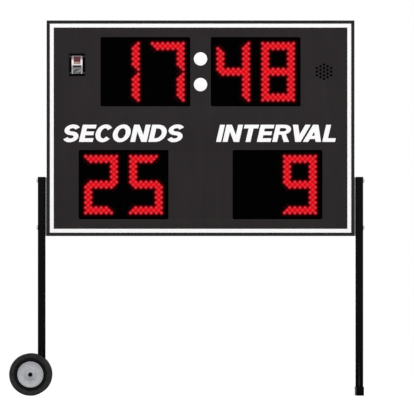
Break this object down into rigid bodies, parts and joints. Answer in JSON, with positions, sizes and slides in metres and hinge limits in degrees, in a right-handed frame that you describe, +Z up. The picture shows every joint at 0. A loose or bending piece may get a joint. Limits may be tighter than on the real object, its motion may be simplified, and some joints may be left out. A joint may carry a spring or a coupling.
{
  "type": "portable practice segment timer",
  "caption": "Wide black LED timer board with digit windows and a horn grille, carried between two square-tube legs, one on a wheeled foot and one on a plain capped foot.",
  "frame": {"origin": "on the floor, at the middle of the outline in X and Y", "axes": "+Z up; the face with the digits looks along -Y; +X to the right as seen from in front, towards the capped foot"},
  "size_m": [1.758, 0.8454, 1.8568],
  "materials": {
    "cabinet_black": "black powder coat on aluminium",
    "face_black": "satin black coat on aluminium sheet",
    "white_vinyl": "white vinyl",
    "digit_board_black": "black board with red lenses",
    "horn_black": "moulded",
    "circuit_green": "solder mask",
    "bare_aluminium": "mill finish",
    "plate_black": "smooth",
    "module_white": "smooth moulded",
    "rocker_ivory": "smooth moulded",
    "rocker_red": "translucent lens",
    "socket_black": "moulded",
    "lid_grey": "smooth moulded",
    "zinc_steel": "zinc plated",
    "stand_black": "black powder coat on steel",
    "cap_black": "moulded",
    "axle_steel": "bright drawn",
    "tyre_rubber": "moulded rubber",
    "wheel_silver": "silver paint on pressed steel",
    "bush_nylon": "moulded"
  },
  "bodies": {
    "stand": {"top_rail": "cabinet_black", "bottom_rail": "cabinet_black", "left_rail": "cabinet_black", "right_rail": "cabinet_black", "upper_left_corner_key": "bare_aluminium", "upper_right_corner_key": "bare_aluminium", "lower_left_corner_key": "bare_aluminium", "lower_right_corner_key": "bare_aluminium", "face_panel": "face_black", "border_stripe": "white_vinyl", "upper_colon_disc": "white_vinyl", "lower_colon_disc": "white_vinyl", "minutes_digit_board": "digit_board_black", "seconds_digit_board": "digit_board_black", "play_clock_digit_board": "digit_board_black", "segment_digit_board": "digit_board_black", "rear_cover": "cabinet_black", "horn": "horn_black", "control_board": "circuit_green", "power_supply": "bare_aluminium", "switch_plate": "plate_black", "power_module": "module_white", "inlet_socket": "socket_black", "lid_pin": "zinc_steel", "left_leg": "stand_black", "right_leg": "stand_black", "left_foot": "stand_black", "right_foot": "stand_black", "left_front_gusset": "stand_black", "left_rear_gusset": "stand_black", "right_front_gusset": "stand_black", "right_rear_gusset": "stand_black", "left_leg_cap": "cap_black", "right_leg_cap": "cap_black", "right_foot_front_cap": "cap_black", "right_foot_rear_cap": "cap_black", "left_spacer_strip": "bare_aluminium", "right_spacer_strip": "bare_aluminium", "left_nut_bar": "zinc_steel", "right_nut_bar": "zinc_steel", "left_upper_bolt": "zinc_steel", "left_lower_bolt": "zinc_steel", "right_upper_bolt": "zinc_steel", "right_lower_bolt": "zinc_steel", "front_axle_bracket": "stand_black", "rear_axle_bracket": "stand_black", "axle": "axle_steel", "front_push_cap": "cap_black", "rear_push_cap": "cap_black"},
    "front_wheel": {"front_tyre": "tyre_rubber", "front_wheel_disc": "wheel_silver", "front_wheel_bush": "bush_nylon"},
    "rear_wheel": {"rear_tyre": "tyre_rubber", "rear_wheel_disc": "wheel_silver", "rear_wheel_bush": "bush_nylon"},
    "rocker": {"power_rocker": "rocker_ivory", "rocker_lens": "rocker_red"},
    "lid": {"inlet_lid": "lid_grey"}
  },
  "joints": [
    {"name": "front_wheel_spin", "type": "hinge", "parent": "stand", "child": "front_wheel", "pos_m": [-0.77419, -0.3872, 0.10477], "axis": [0, 1, 0], "continuous": true},
    {"name": "rear_wheel_spin", "type": "hinge", "parent": "stand", "child": "rear_wheel", "pos_m": [-0.77419, 0.3872, 0.10477], "axis": [0, 1, 0], "continuous": true},
    {"name": "rocker_tilt", "type": "hinge", "parent": "stand", "child": "rocker", "pos_m": [-0.54514, -0.0745, 1.65928], "axis": [-1, 0, 0], "range_deg": [0, 20]},
    {"name": "lid_swing", "type": "hinge", "parent": "stand", "child": "lid", "pos_m": [-0.54514, -0.078, 1.62545], "axis": [-1, 0, 0], "range_deg": [0, 95], "stiffness_Nm_per_rad": 0.01, "springref_deg": -17.19}
  ]
}
